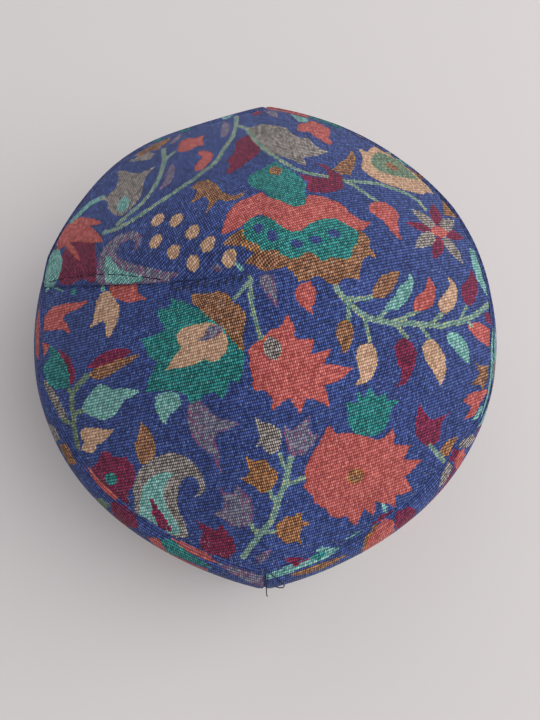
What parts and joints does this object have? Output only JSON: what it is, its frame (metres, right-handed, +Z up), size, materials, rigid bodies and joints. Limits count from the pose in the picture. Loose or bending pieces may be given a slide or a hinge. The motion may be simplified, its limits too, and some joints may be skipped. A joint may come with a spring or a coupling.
{
  "type": "kashmiri cap",
  "caption": "Brimless round cap of flower-woven cloth: a lapped, softly peaked crown on an upright side that is seamed at a front and a back point, open below for the head.",
  "frame": {"origin": "on the floor, under the middle of the cap's box, where the rim stands", "axes": "+Z up from the rim to the crown, -Y to the front point, +X to the wearer's left as the cap faces -Y"},
  "size_m": [0.1799, 0.1957, 0.103],
  "materials": {
    "woven_cloth": "matt tapestry weave, navy ground with coral, teal, maroon, brown and grey flowers",
    "sewing_thread": "matt spun thread, near black"
  },
  "bodies": {
    "root": {"crown": "woven_cloth", "side_panel_left": "woven_cloth", "side_panel_right": "woven_cloth"}
  },
  "joints": []
}
